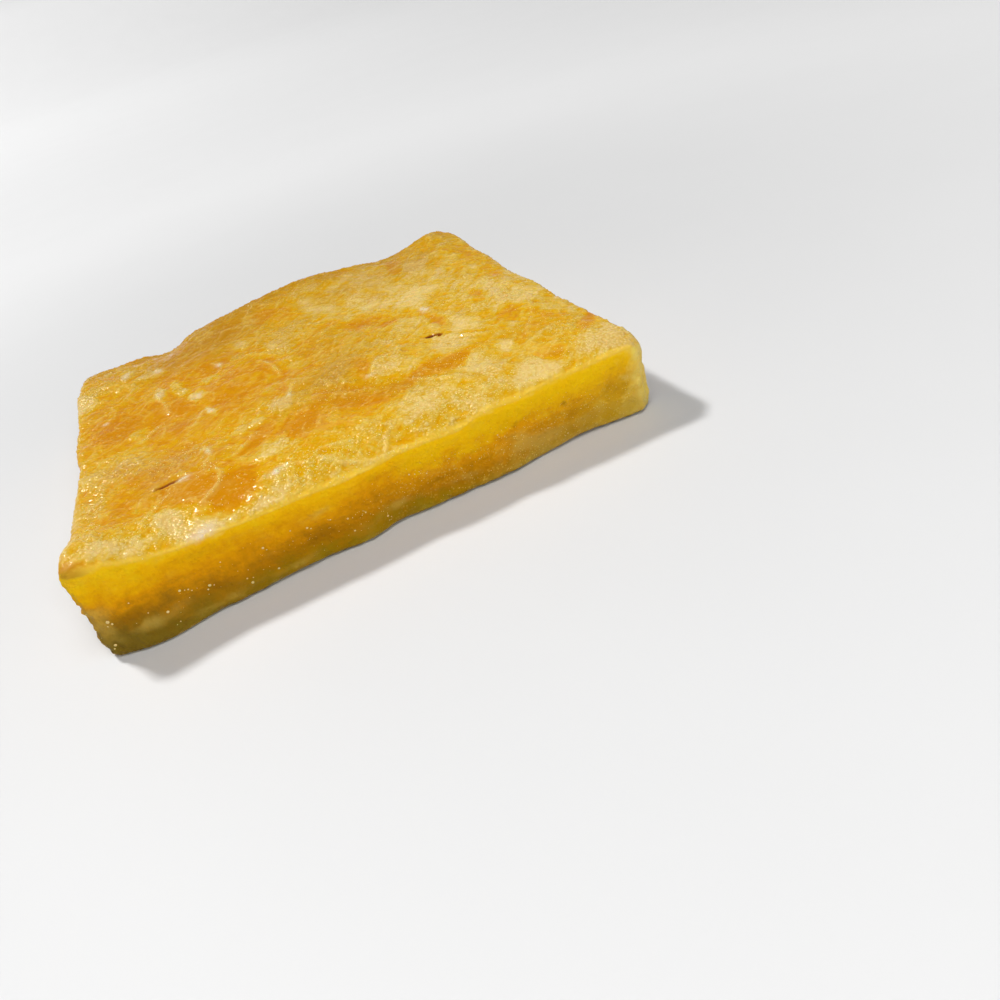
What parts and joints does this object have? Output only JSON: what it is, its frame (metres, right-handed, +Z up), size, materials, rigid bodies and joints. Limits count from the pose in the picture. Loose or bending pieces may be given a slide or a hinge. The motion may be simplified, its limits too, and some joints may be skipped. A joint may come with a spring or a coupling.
{
  "type": "mango jelly slab",
  "caption": "Square slab of sun-dried mango jelly with hand-cut sides and a wrinkled top, lying flat on its underside.",
  "frame": {"origin": "under the middle of the slab, on the surface that it lies on", "axes": "+Z up through the thickness, -Y out of the front cut side, +X towards the right-hand end of the front cut"},
  "size_m": [0.102, 0.1038, 0.0176],
  "materials": {
    "mango_jelly": "semi-gloss amber jelly with a pale dried film and fine grain"
  },
  "bodies": {
    "root": {"mango_jelly_slab": "mango_jelly"}
  },
  "joints": []
}
